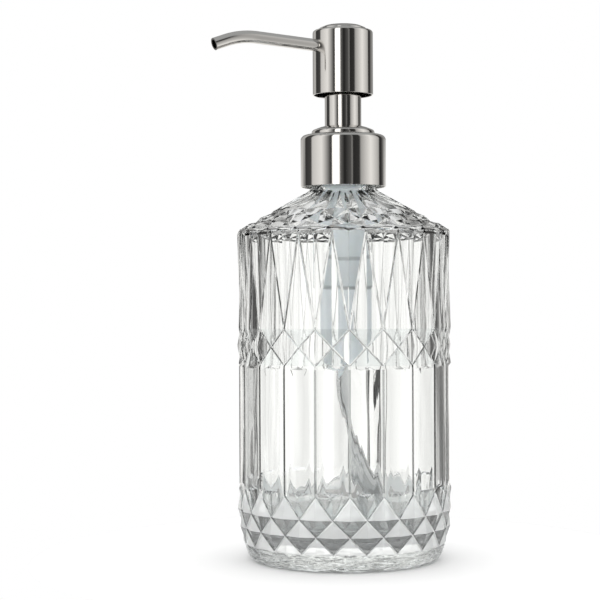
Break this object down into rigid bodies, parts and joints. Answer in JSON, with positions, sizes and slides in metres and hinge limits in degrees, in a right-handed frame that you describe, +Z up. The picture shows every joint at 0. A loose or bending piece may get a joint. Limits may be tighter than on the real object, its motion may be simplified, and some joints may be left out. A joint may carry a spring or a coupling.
{
  "type": "soap pump dispenser",
  "caption": "Free-standing cut-pattern glass bottle with a screw-on, steel-clad lotion pump and a curved spout.",
  "frame": {"origin": "centre of the bottle's axis at the plane it stands on", "axes": "+Z up along the bottle's axis; the spout points along -X; +Y to the side"},
  "size_m": [0.0952, 0.082, 0.2054],
  "materials": {
    "glass": "clear pressed glass, fire polished",
    "brushed_steel": "satin stainless steel",
    "white_plastic": "moulded polypropylene",
    "natural_plastic": "translucent natural polypropylene",
    "seal_plastic": "soft polyethylene",
    "gasket_foam": "closed-cell foam",
    "spring_steel": "drawn stainless wire",
    "ball_steel": "polished stainless ball"
  },
  "bodies": {
    "bottle": {"glass_bottle": "glass"},
    "pump_body": {"neck_gasket": "gasket_foam", "pump_housing": "natural_plastic", "lock_collar": "white_plastic", "neck_sleeve": "brushed_steel", "dip_tube": "natural_plastic", "ball_retainer": "white_plastic", "return_spring": "spring_steel"},
    "closure": {"collar_shell": "brushed_steel", "closure_insert": "white_plastic"},
    "ball": {"check_ball": "ball_steel"},
    "plunger": {"piston_seal": "seal_plastic"},
    "actuator": {"stem": "natural_plastic", "valve_plug": "seal_plastic", "actuator_core": "white_plastic", "actuator_shell": "brushed_steel", "spout_tube": "brushed_steel"}
  },
  "joints": [
    {"name": "closure_rise", "type": "slide", "parent": "bottle", "child": "pump_body", "axis": [0, 0, 1], "range_m": [0, 0.0047]},
    {"name": "closure_turn", "type": "hinge", "parent": "pump_body", "child": "closure", "pos_m": [0, 0, 0.155], "axis": [0, 0, 1], "range_deg": [0, 400]},
    {"name": "ball_lift", "type": "slide", "parent": "pump_body", "child": "ball", "axis": [0, 0, 1], "range_m": [0, 0.0015]},
    {"name": "head_press", "type": "slide", "parent": "pump_body", "child": "plunger", "axis": [0, 0, -1], "range_m": [0, 0.013], "stiffness_N_per_m": 400, "springref_m": -0.012, "deforming": ["return_spring"]},
    {"name": "head_swivel", "type": "hinge", "parent": "plunger", "child": "actuator", "pos_m": [0, 0, 0.19], "axis": [0, 0, 1], "continuous": true}
  ],
  "couplings": [
    {"joint": "closure_turn", "follows": "closure_rise", "rad_per_m": 1484.3}
  ]
}
